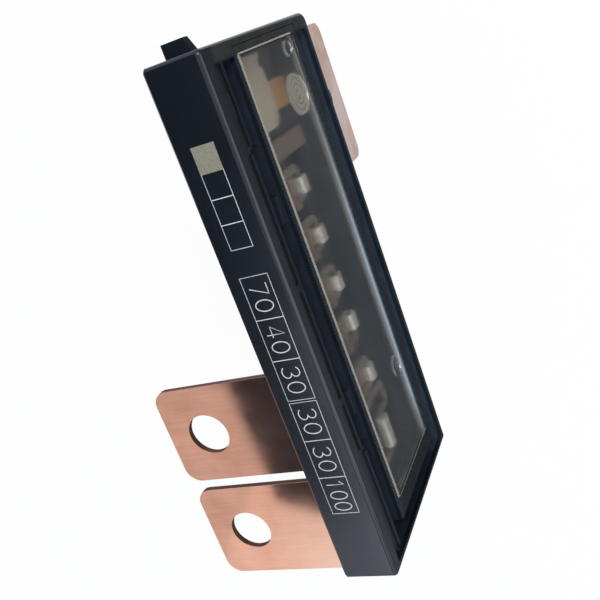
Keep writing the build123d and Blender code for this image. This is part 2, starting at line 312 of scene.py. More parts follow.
@dataclass(frozen=True)
class Zone:
    """Box on the moulding with two tones of its own, in millimetres.

    Its ends, its near side and its top fade over the three widths given. Its far side and base are sharp.
    """

    down: Pair
    out: Pair
    tones: tuple[str, ...] = ()
    along: Pair = (0.5, LAYOUT.length - 0.5)
    fades: Triple = (HAIR_MM, 0.6, 0.3)

    def mask(self, tree: Tree) -> Socket:
        """Builds the mask.

        Args:
            tree: Tree to add to.

        Returns:
            Socket that is 1 in the zone.
        """
        axes = coordinates(tree)
        (start, end), (base, top), (near, far) = (map(LAYOUT.x, self.along), map(LAYOUT.y, self.out),
                                                  map(LAYOUT.z, self.down))
        ends_fade, near_fade, top_fade = (fade * MM for fade in self.fades)
        return combine(tree, "MULTIPLY",
                       spread(tree, axes["X"], 0.0, 1.0, start, start + ends_fade),
                       spread(tree, axes["X"], 1.0, 0.0, end - ends_fade, end),
                       spread(tree, axes["Y"], 1.0, 0.0, top - top_fade, top),
                       spread(tree, axes["Z"], 1.0, 0.0, near - near_fade, near),
                       combine(tree, "GREATER_THAN", axes["Y"], base),
                       combine(tree, "GREATER_THAN", axes["Z"], far))


CHANNELS_OUT = (1.0, 10.15)
FAR_DOWN = LAYOUT.width - 1.0
PAST_FAR_DOWN = LAYOUT.width + 1.0
SHELTER = Zone((1.0, FAR_DOWN), CHANNELS_OUT)
# In order: the channels, the far rim and the far groove, whose lighter, bluer tones are painted light
# that lifts the shade there, and the lighter, greyer rim of the feed end.
MOULD_ZONES = (
    Zone((7.3, FAR_DOWN), CHANNELS_OUT, ("#181e29", "#1e252f")),
    Zone((42.4, FAR_DOWN), (1.0, 12.0), ("#1a222b", "#202832")),
    Zone((38.6, FAR_DOWN), CHANNELS_OUT, ("#27303b", "#323b46")),
    Zone((3.0, PAST_FAR_DOWN), (10.2, 12.0), ("#272624", "#2e2d2a"), (-1.0, 2.8), (0.3, 1.5, HAIR_MM)),
)
# Painted shade: a darker tone on the recess past the pane's terminal end,
# up to just past the frame's face at 10.8.
COVER_END = Zone((11.5, PAST_FAR_DOWN), (1.0, 10.82), ("#0d100f", "#131615"), (91.2, 98.4), (0.3, 1.5, HAIR_MM))


@dataclass(frozen=True)
class MouldedNylon(Finish):
    """Glass-filled nylon as moulded: near black, with the fine grain of a spark-eroded mould."""

    title: str
    dark: str
    light: str
    zones: tuple[Zone, ...] = MOULD_ZONES
    roughness: Pair = (0.15, 0.21)
    sheltered_roughness: float = 0.45
    grain_mm: float = 0.35
    grain_depth_mm: float = 0.002
    cloud_mm: float = 14.0
    mottle_mm: float = 2.6
    wave_mm: float = 6.0
    wave_depth_mm: float = 0.05

    def shade(self, tree: Tree) -> Socket:
        """Cloudy black with a grain, and lighter and bluer in the channels and on the far rim as painted light.

        The grain is drawn coarser than the real 0.1 mm so that it shows.
        """
        cloud = grains(tree, self.cloud_mm, detail=3.0)
        grain = grains(tree, self.grain_mm, detail=3.0, rough=0.6)
        wave = grains(tree, self.wave_mm)
        mottle = grains(tree, self.mottle_mm, (2.5, 1.0, 1.0), detail=3.0, rough=0.6)
        mottle = spread(tree, mottle, 0.0, 1.0, 0.4, 0.62)
        tone = blend(tree, spread(tree, cloud, 0.0, 1.0), self.dark, self.light)
        for zone in self.zones:
            tone = blend(tree, zone.mask(tree), tone, blend(tree, mottle, *zone.tones))
        rough = spread(tree, grain, *self.roughness)
        return add_node(tree, "ShaderNodeBsdfPrincipled", values={
            "Base Color": tone,
            "Roughness": blend(tree, SHELTER.mask(tree), rough, self.sheltered_roughness),
            "IOR": 1.5,
            "Specular IOR Level": 0.5,
            "Normal": relief(tree, (wave, self.wave_depth_mm, 0.4), (grain, self.grain_depth_mm, 1.0)),
        }).outputs[0]


@dataclass(frozen=True)
class BrushedCopper(Finish):
    """Bare copper strip, brushed along the tabs: warm pink metal that mirrors the black housing softly."""

    title: str
    clean: str = "#e2a789"
    dull: str = "#cd9277"
    # Under the window: a paler beige on the pad, a darker, duller copper, and the pad's neck painted
    # orange-brown as painted shade.
    pad_tone: str = "#bcae9a"
    under_window: str = "#78685e"
    neck: str = "#b98d61"
    sheared: str = "#5e4034"
    # Painted highlight: a paler tone towards the end of the last tab, near the housing.
    painted_sheen: str = "#e3bba2"
    plate: tuple[str, str] = ("#cfa388", "#dfc1ab")
    roughness: Pair = (0.06, 0.1)
    sheltered_roughness: float = 0.5
    sheltered_metal: float = 0.4
    streak_mm: float = 0.22
    streak_depth_mm: float = 0.0007
    broad_mm: float = 1.1
    cloud_mm: float = 9.0
    weights: Triple = (0.25, 0.6, 0.15)
    plate_start_down: float = 46.0
    sheared_half_mm: float = 0.5
    painted_sheen_along: Pair = (80.0, 98.0)
    painted_sheen_out: Pair = (-15.0, -1.0)
    window_margins: Triple = (3.0, 1.0, 2.0)
    pad_margins: Pair = (1.0, 0.4)
    mask_blur_mm: float = 0.4

    def shade(self, tree: Tree) -> Socket:
        """Streaks out along the tabs over broad clouds of tarnish; matt on the sheared edges, paler towards the
        end of the last tab as a painted highlight, and under the window darker and duller, with painted shade
        on the pad's neck and a paler beige on the pad.

        The streaks are drawn wider than the real ones, so that they show.
        """
        streaks = grains(tree, self.streak_mm, (1.0, 50.0, 60.0), detail=2.0, rough=0.6)
        cloud = grains(tree, self.cloud_mm, detail=4.0, rough=0.6)
        broad = grains(tree, self.broad_mm, (1.0, 14.0, 14.0), detail=2.0)
        shares = (combine(tree, "MULTIPLY", *pair) for pair in zip((streaks, cloud, broad), self.weights))
        mixed = spread(tree, combine(tree, "ADD", *shares), 0.0, 1.0, 0.38, 0.62)
        axes = coordinates(tree)
        # Painted highlight: the last tab is painted paler towards its end and towards the housing.
        painted_sheen = combine(tree, "MULTIPLY",
                         spread(tree, axes["X"], 0.0, 0.9, *map(LAYOUT.x, self.painted_sheen_along)),
                         spread(tree, axes["Y"], 0.1, 1.0, *map(LAYOUT.y, self.painted_sheen_out)))
        copper = blend(tree, painted_sheen, blend(tree, mixed, self.dull, self.clean), self.painted_sheen)
        on_plate = combine(tree, "LESS_THAN", axes["Z"], LAYOUT.z(self.plate_start_down))
        plate = blend(tree, spread(tree, cloud, 0.0, 1.0, 0.4, 0.6), *self.plate)
        colour = blend(tree, on_plate, copper, plate)
        sheared = combine(tree, "LESS_THAN", combine(tree, "ABSOLUTE", axes["Z"]), self.sheared_half_mm * MM)
        # The window masks give a darker, duller copper under the window, painted shade on the pad's neck and a
        # paler beige on the pad.
        masks = [sheared, *self.window_masks(tree)]
        for mask, tone in zip(masks, (self.sheared, self.under_window, self.neck, self.pad_tone)):
            colour = blend(tree, mask, colour, tone)
        matt = combine(tree, "MAXIMUM", masks[1], sheared)
        rough = spread(tree, cloud, *self.roughness)
        return add_node(tree, "ShaderNodeBsdfPrincipled", values={
            "Base Color": colour,
            "Metallic": blend(tree, matt, 1.0, self.sheltered_metal),
            "Roughness": blend(tree, matt, rough, self.sheltered_roughness),
            "Normal": relief(tree, (streaks, self.streak_depth_mm, 1.0)),
        }).outputs[0]

    def window_masks(self, tree: Tree) -> list[Socket]:
        """Masks over what lies under the window, over the pad with its neck, and over the pad alone.

        Args:
            tree: Tree to add to.

        Returns:
            The three masks, each inside the one before it.
        """
        near, far, end = self.window_margins
        low = LAYOUT.spot(LAYOUT.pane_along[0], 0.0, LAYOUT.pane_down[0] - near)
        far_down = LAYOUT.pane_down[1] + far
        pad_end = LAYOUT.pad_along[1] + self.pad_margins[0]
        corners = ((LAYOUT.pane_along[1] + end, far_down), (pad_end, far_down),
                   (pad_end, LAYOUT.pad_end_down + self.pad_margins[1]))
        return [inside_box(tree, low, LAYOUT.spot(along, 0.0, down), self.mask_blur_mm)
                for along, down in corners]


@dataclass(frozen=True)
class RolledMetal(Finish):
    """Rolled or cast soft metal, dull from handling: even sheen with small dents."""

    title: str
    light: str
    dark: str
    roughness: Pair = (0.4, 0.6)
    dent_mm: float = 0.8
    dent_depth_mm: float = 0.05
    metal: float = 0.5
    patch_mm: float = 1.6

    def shade(self, tree: Tree) -> Socket:
        """Patches of duller metal and shallow dents."""
        patches = grains(tree, self.patch_mm, detail=4.0, rough=0.6)
        dents = grains(tree, self.dent_mm, detail=2.0)
        return add_node(tree, "ShaderNodeBsdfPrincipled", values={
            "Base Color": blend(tree, spread(tree, patches, 0.0, 1.0), self.dark, self.light),
            "Metallic": self.metal,
            "Roughness": spread(tree, patches, *self.roughness),
            "Normal": relief(tree, (dents, self.dent_depth_mm, 0.8)),
        }).outputs[0]


@dataclass(frozen=True)
class ClearPolycarbonate(Finish):
    """Moulded polycarbonate: clear and glossy, faintly fogged, with ringed bosses, and with painted highlights
    along its edges.
    """

    title: str
    roughness: Pair = (0.07, 0.13)
    haze_mm: float = 5.0
    flow_mm: float = 9.0
    flow_depth_mm: float = 0.08
    ring_middle: Pair = (13.5, 31.7)
    ring_out: float = 9.8
    ring_pitch_mm: float = 1.1
    ring_depth_mm: float = 0.007
    ring_haze: Pair = (0.41, 0.58)
    boss_radius_mm: float = 4.0
    outline_haze: float = 0.7
    outline_at: Pair = (0.84, 0.92)
    # Painted highlight: a pale matt band along the rim, for the light that the pane's edges catch.
    edge_light: str = "#b4ae9c"
    edge_light_mm: float = 0.35
    end_edge_light_mm: float = 0.55
    edge_light_blur_mm: float = 0.2
    edge_light_share: float = 0.45
    # Painted highlight: a bluish glow along the far edge, brightest in its middle.
    far_edge_light: str = "#c3d6e4"
    far_glow_down: tuple[float, float, float, float] = (30.0, 34.8, 35.3, 36.6)
    far_glow_along: tuple[float, float, float, float] = (4.0, 45.0, 80.0, 91.0)
    far_glow_ends: Pair = (0.25, 0.4)
    far_glow_curve: float = 2.2
    far_glow_share: float = 0.4
    fog_mm: float = 6.0
    fog_share: Pair = (0.04, 0.024)
    fog_ends: Pair = (8.0, 32.0)
    broken_edge_mm: float = 0.35
    open_side_mm: float = 2.0

    def shade(self, tree: Tree) -> Socket:
        """Lets the lamps' light through, mixed with a pale matt share on the boss, the fog and the edges, the
        last a painted highlight.
        """
        rings, boss = self.rings(tree)
        flow = grains(tree, self.flow_mm, (2.5, 1.0, 1.0), detail=1.0)
        haze = grains(tree, self.haze_mm, detail=3.0)
        glass = add_node(tree, "ShaderNodeBsdfPrincipled", values={
            "Base Color": (1.0, 1.0, 1.0, 1.0),
            "Roughness": spread(tree, haze, *self.roughness),
            "IOR": 1.5,
            "Transmission Weight": 1.0,
            "Normal": relief(tree, (flow, self.flow_depth_mm, 0.3), (rings, self.ring_depth_mm, 1.0)),
        }).outputs[0]
        # Painted highlights: a pale band on the rim and a bluish one along the far edge.
        far = self.far_edge(tree)
        tone = blend(tree, far, self.edge_light, self.far_edge_light)
        edge_lit = add_node(tree, "ShaderNodeBsdfDiffuse", values={"Color": tone}).outputs[0]
        fog = grains(tree, self.fog_mm, (1.6, 1.0, 1.0), detail=4.0, rough=0.6)
        fog_there = spread(tree, coordinates(tree)["X"], *self.fog_share, *map(LAYOUT.x, self.fog_ends))
        fog = combine(tree, "MULTIPLY", spread(tree, fog, 0.3, 1.0, 0.35, 0.65), fog_there)
        edge_light = combine(tree, "MULTIPLY", self.rim(tree), self.edge_light_share)
        glow = combine(tree, "MULTIPLY", far, self.far_glow_share)
        share = combine(tree, "MAXIMUM", fog, boss, edge_light, glow)
        hazy = add_node(tree, "ShaderNodeMixShader", values={0: share, 1: glass, 2: edge_lit}).outputs[0]
        clear = add_node(tree, "ShaderNodeBsdfTransparent", values={"Color": linear("#f8f8f8")}).outputs[0]
        shadow = add_node(tree, "ShaderNodeLightPath").outputs["Is Shadow Ray"]
        return add_node(tree, "ShaderNodeMixShader", values={0: shadow, 1: hazy, 2: clear}).outputs[0]

    def front(self, tree: Tree) -> Socket:
        """Returns a mask over the pane's front face and its broken edge."""
        edge = LAYOUT.y(LAYOUT.pane_front_out - self.broken_edge_mm)
        return combine(tree, "GREATER_THAN", coordinates(tree)["Y"], edge)

    def far_edge(self, tree: Tree) -> Socket:
        """Mask of the painted highlight on the pane's far edge, which grows towards the edge's round and fades
        at both ends of it.

        Args:
            tree: Tree to add to.

        Returns:
            Socket that is 1 at the middle of the far edge.
        """
        axes = coordinates(tree)
        foot, peak, crest, edge = map(LAYOUT.z, self.far_glow_down)
        start, full, fading, end = map(LAYOUT.x, self.far_glow_along)
        rising = combine(tree, "POWER", spread(tree, axes["Z"], 1.0, 0.0, peak, foot), self.far_glow_curve)
        return combine(tree, "MULTIPLY", self.front(tree), rising,
                       spread(tree, axes["Z"], 0.0, 1.0, edge, crest),
                       spread(tree, axes["X"], self.far_glow_ends[0], 1.0, start, full),
                       spread(tree, axes["X"], 1.0, self.far_glow_ends[1], fading, end))

    def rings(self, tree: Tree) -> tuple[Socket, Socket]:
        """Rings of the turned mould insert on the large boss.

        Args:
            tree: Tree to add to.

        Returns:
            The rings' height and the share of haze that they add.
        """
        axes = coordinates(tree)
        behind = combine(tree, "LESS_THAN", axes["Y"], LAYOUT.y(self.ring_out))
        flat = add_node(tree, "ShaderNodeVectorMath", {"operation": "MULTIPLY"},
                        {0: axes["place"], 1: (1.0, 0.0, 1.0)}).outputs[0]
        along, down = self.ring_middle
        reach = add_node(tree, "ShaderNodeVectorMath", {"operation": "DISTANCE"},
                         {0: flat, 1: (LAYOUT.x(along), 0.0, LAYOUT.z(down))}).outputs["Value"]
        wave = combine(tree, "SINE", combine(tree, "MULTIPLY", reach, 2 * math.pi / (self.ring_pitch_mm * MM)))
        radius = self.boss_radius_mm * MM
        start, full = (radius * share for share in self.outline_at)
        inside = combine(tree, "MULTIPLY", spread(tree, reach, 1.0, 0.0, full, radius), behind)
        outline = spread(tree, reach, 0.0, self.outline_haze, start, full)
        haze = combine(tree, "MAXIMUM", spread(tree, wave, *self.ring_haze, -1.0, 1.0), outline)
        return combine(tree, "MULTIPLY", wave, inside), combine(tree, "MULTIPLY", haze, inside)

    def rim(self, tree: Tree) -> Socket:
        """Mask over the pane's rim, which carries a painted highlight and is open at the far side.

        Args:
            tree: Tree to add to.

        Returns:
            Socket that is 1 on the rim and 0 over the window.
        """
        inset = self.edge_light_mm - self.edge_light_blur_mm
        low = LAYOUT.spot(LAYOUT.pane_along[0] + inset, 0.0, LAYOUT.pane_down[0] + inset)
        high = LAYOUT.spot(LAYOUT.pane_along[1] - self.end_edge_light_mm + self.edge_light_blur_mm, 0.0,
                           LAYOUT.pane_down[1] + self.open_side_mm)
        window = inside_box(tree, low, high, self.edge_light_blur_mm)
        return combine(tree, "MULTIPLY", combine(tree, "SUBTRACT", 1.0, window), self.front(tree))


@dataclass(frozen=True)
class LaserPrint(Finish):
    """Laser marking on black plastic: a thin pale foam of plastic, matt and slightly uneven."""

    title: str
    light: str
    dark: str
    foam_mm: float = 0.4
    foam_depth_mm: float = 0.01

    def shade(self, tree: Tree) -> Socket:
        """Uneven pale matt film."""
        foam = grains(tree, self.foam_mm, detail=3.0)
        return add_node(tree, "ShaderNodeBsdfPrincipled", values={
            "Base Color": blend(tree, spread(tree, foam, 0.0, 1.0), self.dark, self.light),
            "Roughness": 0.75,
            "Specular IOR Level": 0.2,
            "Normal": relief(tree, (foam, self.foam_depth_mm, 0.6)),
        }).outputs[0]


@dataclass(frozen=True)
class TablePaper(Finish):
    """White paper table top, seen as white by the camera and through the pane, and greyer in gloss.

    The places where what the part mirrors changes are in metres along X or Y, each as its start and its end.
    """

    title: str = "table_paper"
    tones: tuple[str, str] = ("#f2f2f2", "#fafafa")
    fibre_mm: float = 0.7
    white_share: float = 0.93
    plate_gloss: float = 0.85
    pane_gloss: float = 0.1
    rim_gloss: Pair = (0.3, 0.5)
    mirrored_tint: str = "#e6efff"
    plate_end_x: Pair = (-0.026, -0.02)
    plate_end_y: Pair = (0.03, 0.034)
    rim_start_y: Pair = (0.0595, 0.063)
    rim_x: Pair = (-0.06, 0.09)

    def shade(self, tree: Tree) -> Socket:
        """Part lit paper, which keeps the shadow, and part plain white where it is looked at.

        What the part mirrors is light under the supply plate and dark before the window side, and grows lighter
        away from it towards the terminal end.
        """
        path = add_node(tree, "ShaderNodeLightPath").outputs
        glossy = path["Is Glossy Ray"]
        seen = combine(tree, "MAXIMUM", path["Is Camera Ray"], path["Is Transmission Ray"])
        share = combine(tree, "MAXIMUM", combine(tree, "MULTIPLY", seen, self.white_share), glossy)
        axes = coordinates(tree)
        plate = spread(tree, axes["X"], self.plate_gloss, self.pane_gloss, *self.plate_end_x)
        pane = blend(tree, spread(tree, axes["Y"], 0.0, 1.0, *self.plate_end_y), plate, self.pane_gloss)
        rim = spread(tree, axes["X"], *self.rim_gloss, *self.rim_x)
        mirrored = blend(tree, spread(tree, axes["Y"], 0.0, 1.0, *self.rim_start_y), pane, rim)
        fibres = spread(tree, grains(tree, self.fibre_mm, detail=3.0), 0.0, 1.0)
        tone = blend(tree, fibres, *self.tones)
        paper = add_node(tree, "ShaderNodeBsdfDiffuse", values={"Color": tone}).outputs[0]
        glow = add_node(tree, "ShaderNodeEmission", values={
            "Color": blend(tree, glossy, "#ffffff", self.mirrored_tint),
            "Strength": blend(tree, glossy, 1.0, mirrored),
        }).outputs[0]
        return add_node(tree, "ShaderNodeMixShader", values={0: share, 1: paper, 2: glow}).outputs[0]


@dataclass(frozen=True)
class FlagCloth(Finish):
    """Black studio cloth: matt and nearly without shine."""

    title: str = "black_flag_cloth"
    tones: tuple[str, str] = ("#455160", "#4d5a69")
    weave_mm: float = 1.5

    def shade(self, tree: Tree) -> Socket:
        """Dark weave."""
        weave = spread(tree, grains(tree, self.weave_mm, detail=2.0), 0.0, 1.0)
        tone = blend(tree, weave, *self.tones)
        return add_node(tree, "ShaderNodeBsdfDiffuse", values={"Color": tone}).outputs[0]


class Finishes(Enum):
    """The finishes of the block, by where they go."""

    HOUSING = MouldedNylon("moulded_black_nylon", "#0f1217", "#15191f")
    COVER = MouldedNylon("moulded_black_nylon_cover", "#151b21", "#1b2229", (*MOULD_ZONES, COVER_END),
                         roughness=(0.2, 0.3), grain_mm=0.3)
    PANE = ClearPolycarbonate("clear_moulded_polycarbonate")
    SHEET = BrushedCopper("brushed_copper_sheet")
    # Under the window the blade takes one darker tone, which also serves as the painted shade of its neck.
    BLADE = BrushedCopper("stamped_copper_blade", clean="#e2ac92", dull="#c58a70", pad_tone="#85705f",
                          under_window="#85705f", neck="#85705f", roughness=(0.25, 0.36))
    LINK = RolledMetal("rolled_copper_alloy_link", "#857b72", "#4c4541", metal=0.35)
    TIN = RolledMetal("crimped_tin_pellet", "#d2cfc2", "#9c998c", (0.35, 0.5), 0.9, 0.08)
    PRINT = LaserPrint("pale_laser_marking", "#dde0e0", "#c2c6c6")
    PATCH = LaserPrint("beige_laser_patch", "#8f8c79", "#7e7c6c")
    TABLE = TablePaper()
    FLAG = FlagCloth()


def placed(name: str, mesh: Mesh, finish: Finishes) -> bpy.types.Object:
    """Links a mesh to the scene in its finish.

    Args:
        name: Name of the object.
        mesh: Its mesh, in place in the shared frame.
        finish: Finish of the whole mesh.

    Returns:
        The new object.
    """
    made = bpy.data.objects.new(name, mesh)
    bpy.context.scene.collection.objects.link(made)
    mesh.materials.clear()
    mesh.materials.append(finish.value.material())
    return made


def solid_from(name: str, mesh: Mesh, finish: Finishes) -> None:
    """Adds a mesh as a finished piece that moves with the block.

    Args:
        name: Name of the piece.
        mesh: Its mesh, in place in the shared frame.
        finish: Finish of the whole piece.
    """
    piece = placed(name, mesh, finish)
    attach(piece, BODY)
    log.info("%s: %d faces", name, len(mesh.polygons))


def mesh_from(work: bmesh.types.BMesh, name: str) -> Mesh:
    """Turns a worked shape into a mesh and frees it.

    Args:
        work: The shape.
        name: Name of the mesh.

    Returns:
        The mesh.
    """
    mesh = bpy.data.meshes.new(name)
    work.to_mesh(mesh)
    work.free()
    return mesh


def joined(meshes: Iterable[Mesh], name: str) -> Mesh:
    """Puts several meshes into one.

    Args:
        meshes: Meshes in the shared frame.
        name: Name of the result.

    Returns:
        One mesh.
    """
    work = bmesh.new()
    for mesh in meshes:
        work.from_mesh(mesh)
    return mesh_from(work, name)


def baked(host: bpy.types.Object) -> Mesh:
    """Turns a curve, or an object with a modifier, into a plain mesh and removes it.

    Args:
        host: Object that isn't in the scene yet.

    Returns:
        Its mesh.
    """
    bpy.context.scene.collection.objects.link(host)
    graph = bpy.context.evaluated_depsgraph_get()
    mesh = bpy.data.meshes.new_from_object(host.evaluated_get(graph))
    bpy.data.objects.remove(host)
    return mesh


class TreeBuilder:
    """Geometry Nodes tree with named inputs, baked to a plain mesh."""

    def __init__(self, title: str, finish: Finishes, inputs: dict[str, tuple[str, Any]]) -> None:
        """Starts a tree.

        Args:
            title: Name of the tree.
            finish: Finish of what it makes, which is its last input.
            inputs: Socket type and value of each other named input.
        """
        inputs = {**inputs, "Material": ("NodeSocketMaterial", finish.value.material())}
        self.tree = bpy.data.node_groups.new(title, "GeometryNodeTree")
        self.values = {name: value for name, (_, value) in inputs.items()}
        self.tree.interface.new_socket("Geometry", in_out="OUTPUT", socket_type="NodeSocketGeometry")
        for name, (kind, _) in inputs.items():
            self.tree.interface.new_socket(name, in_out="INPUT", socket_type=kind)
        self.inputs = self.tree.nodes.new("NodeGroupInput").outputs

    def add(self, kind: str, settings: dict[str, Any] | None = None,
            values: dict[Any, Any] | None = None) -> Socket:
        """Adds a node and returns its first output.

        Args:
            kind: Type name of the node.
            settings: Attributes of the node itself.
            values: Value or incoming socket for each input.

        Returns:
            The output socket.
        """
        return add_node(self.tree, kind, settings, values).outputs[0]

    def bake(self, geometry: Socket) -> Mesh:
        """Ends the tree, evaluates it with its inputs and keeps the result as a mesh.

        Args:
            geometry: Socket with the finished instances.

        Returns:
            A plain mesh.
        """
        real = self.add("GeometryNodeRealizeInstances", values={"Geometry": geometry})
        dressed = self.add("GeometryNodeSetMaterial",
                           values={"Geometry": real, "Material": self.inputs["Material"]})
        add_node(self.tree, "NodeGroupOutput", values={"Geometry": dressed})
        host = bpy.data.objects.new(self.tree.name + "_host", bpy.data.meshes.new(self.tree.name))
        modifier = host.modifiers.new("tree", "NODES")
        modifier.node_group = self.tree
        for item in self.tree.interface.items_tree:
            if item.in_out == "INPUT":
                modifier[item.identifier] = self.values[item.name]
        return baked(host)


NUMBER, LENGTH, VECTOR = "NodeSocketInt", "NodeSocketFloat", "NodeSocketVector"
LAID_ON_FACE = (math.pi / 2, 0.0, 0.0)
RING_STEPS = 28
BEAD_STEPS = 8


def ring_rows(title: str, count: tuple[int, int], pitch: tuple[Vector, Vector], start: Vector,
              radii: Pair, finish: Finishes) -> Mesh:
    """Grid of raised rings on a face, such as weld marks or the prints of ejector pins.

    Args:
        title: Name of the tree.
        count: Number of rings each way.
        pitch: Step of each way in metres.
        start: Middle of the first ring in metres.
        radii: Radius of a ring and of its raised bead in millimetres.
        finish: Finish of the rings.

    Returns:
        The mesh of all rings.
    """
    made = TreeBuilder(title, finish, {
        "Across": (NUMBER, count[0]),
        "Rows": (NUMBER, count[1]),
        "Step Across": (VECTOR, tuple(pitch[0])),
        "Step Row": (VECTOR, tuple(pitch[1])),
        "Start": (VECTOR, tuple(start)),
        "Ring Radius": (LENGTH, radii[0] * MM),
        "Bead Radius": (LENGTH, radii[1] * MM),
        "Turn": (VECTOR, LAID_ON_FACE),
    })
    take = made.inputs
    bead, circle = (made.add("GeometryNodeCurvePrimitiveCircle",
                             values={"Resolution": steps, "Radius": take[name]})
                    for steps, name in ((BEAD_STEPS, "Bead Radius"), (RING_STEPS, "Ring Radius")))
    ring = made.add("GeometryNodeCurveToMesh", values={"Curve": circle, "Profile Curve": bead})
    ring = made.add("GeometryNodeTransform", values={"Geometry": ring, "Rotation": take["Turn"]})
    line = made.add("GeometryNodeMeshLine", values={"Count": take["Across"], "Offset": take["Step Across"]})
    row = made.add("GeometryNodeInstanceOnPoints", values={"Points": line, "Instance": ring})
    row = made.add("GeometryNodeRealizeInstances", values={"Geometry": row})
    rows = made.add("GeometryNodeMeshLine", values={
        "Count": take["Rows"], "Start Location": take["Start"], "Offset": take["Step Row"]})
    return made.bake(made.add("GeometryNodeInstanceOnPoints", values={"Points": rows, "Instance": row}))


def arc(middle: Pair, radii: Pair, start: float, end: float,
        steps: int = 16) -> list[Pair]:
    """Points along part of an ellipse.

    Args:
        middle: Middle of the ellipse.
        radii: Its two radii.
        start: First angle in degrees.
        end: Last angle in degrees.
        steps: Number of steps between them.

    Returns:
        The points in order.
    """
    angles = [math.radians(start + (end - start) * i / steps) for i in range(steps + 1)]
    return [(middle[0] + radii[0] * math.cos(a), middle[1] + radii[1] * math.sin(a)) for a in angles]


DIGITS: dict[str, list[Pair]] = {
    "0": arc((0.31, 0.5), (0.31, 0.5), 90.0, 450.0, 28),
    "1": [(0.1, 0.78), (0.34, 1.0), (0.34, 0.0)],
    "3": arc((0.29, 0.75), (0.27, 0.25), 155.0, -80.0) + arc((0.29, 0.26), (0.32, 0.26), 80.0, -155.0),
    "4": [(0.46, 0.0), (0.46, 1.0), (0.0, 0.3), (0.62, 0.3)],
    "7": [(0.0, 1.0), (0.6, 1.0), (0.22, 0.0)],
}


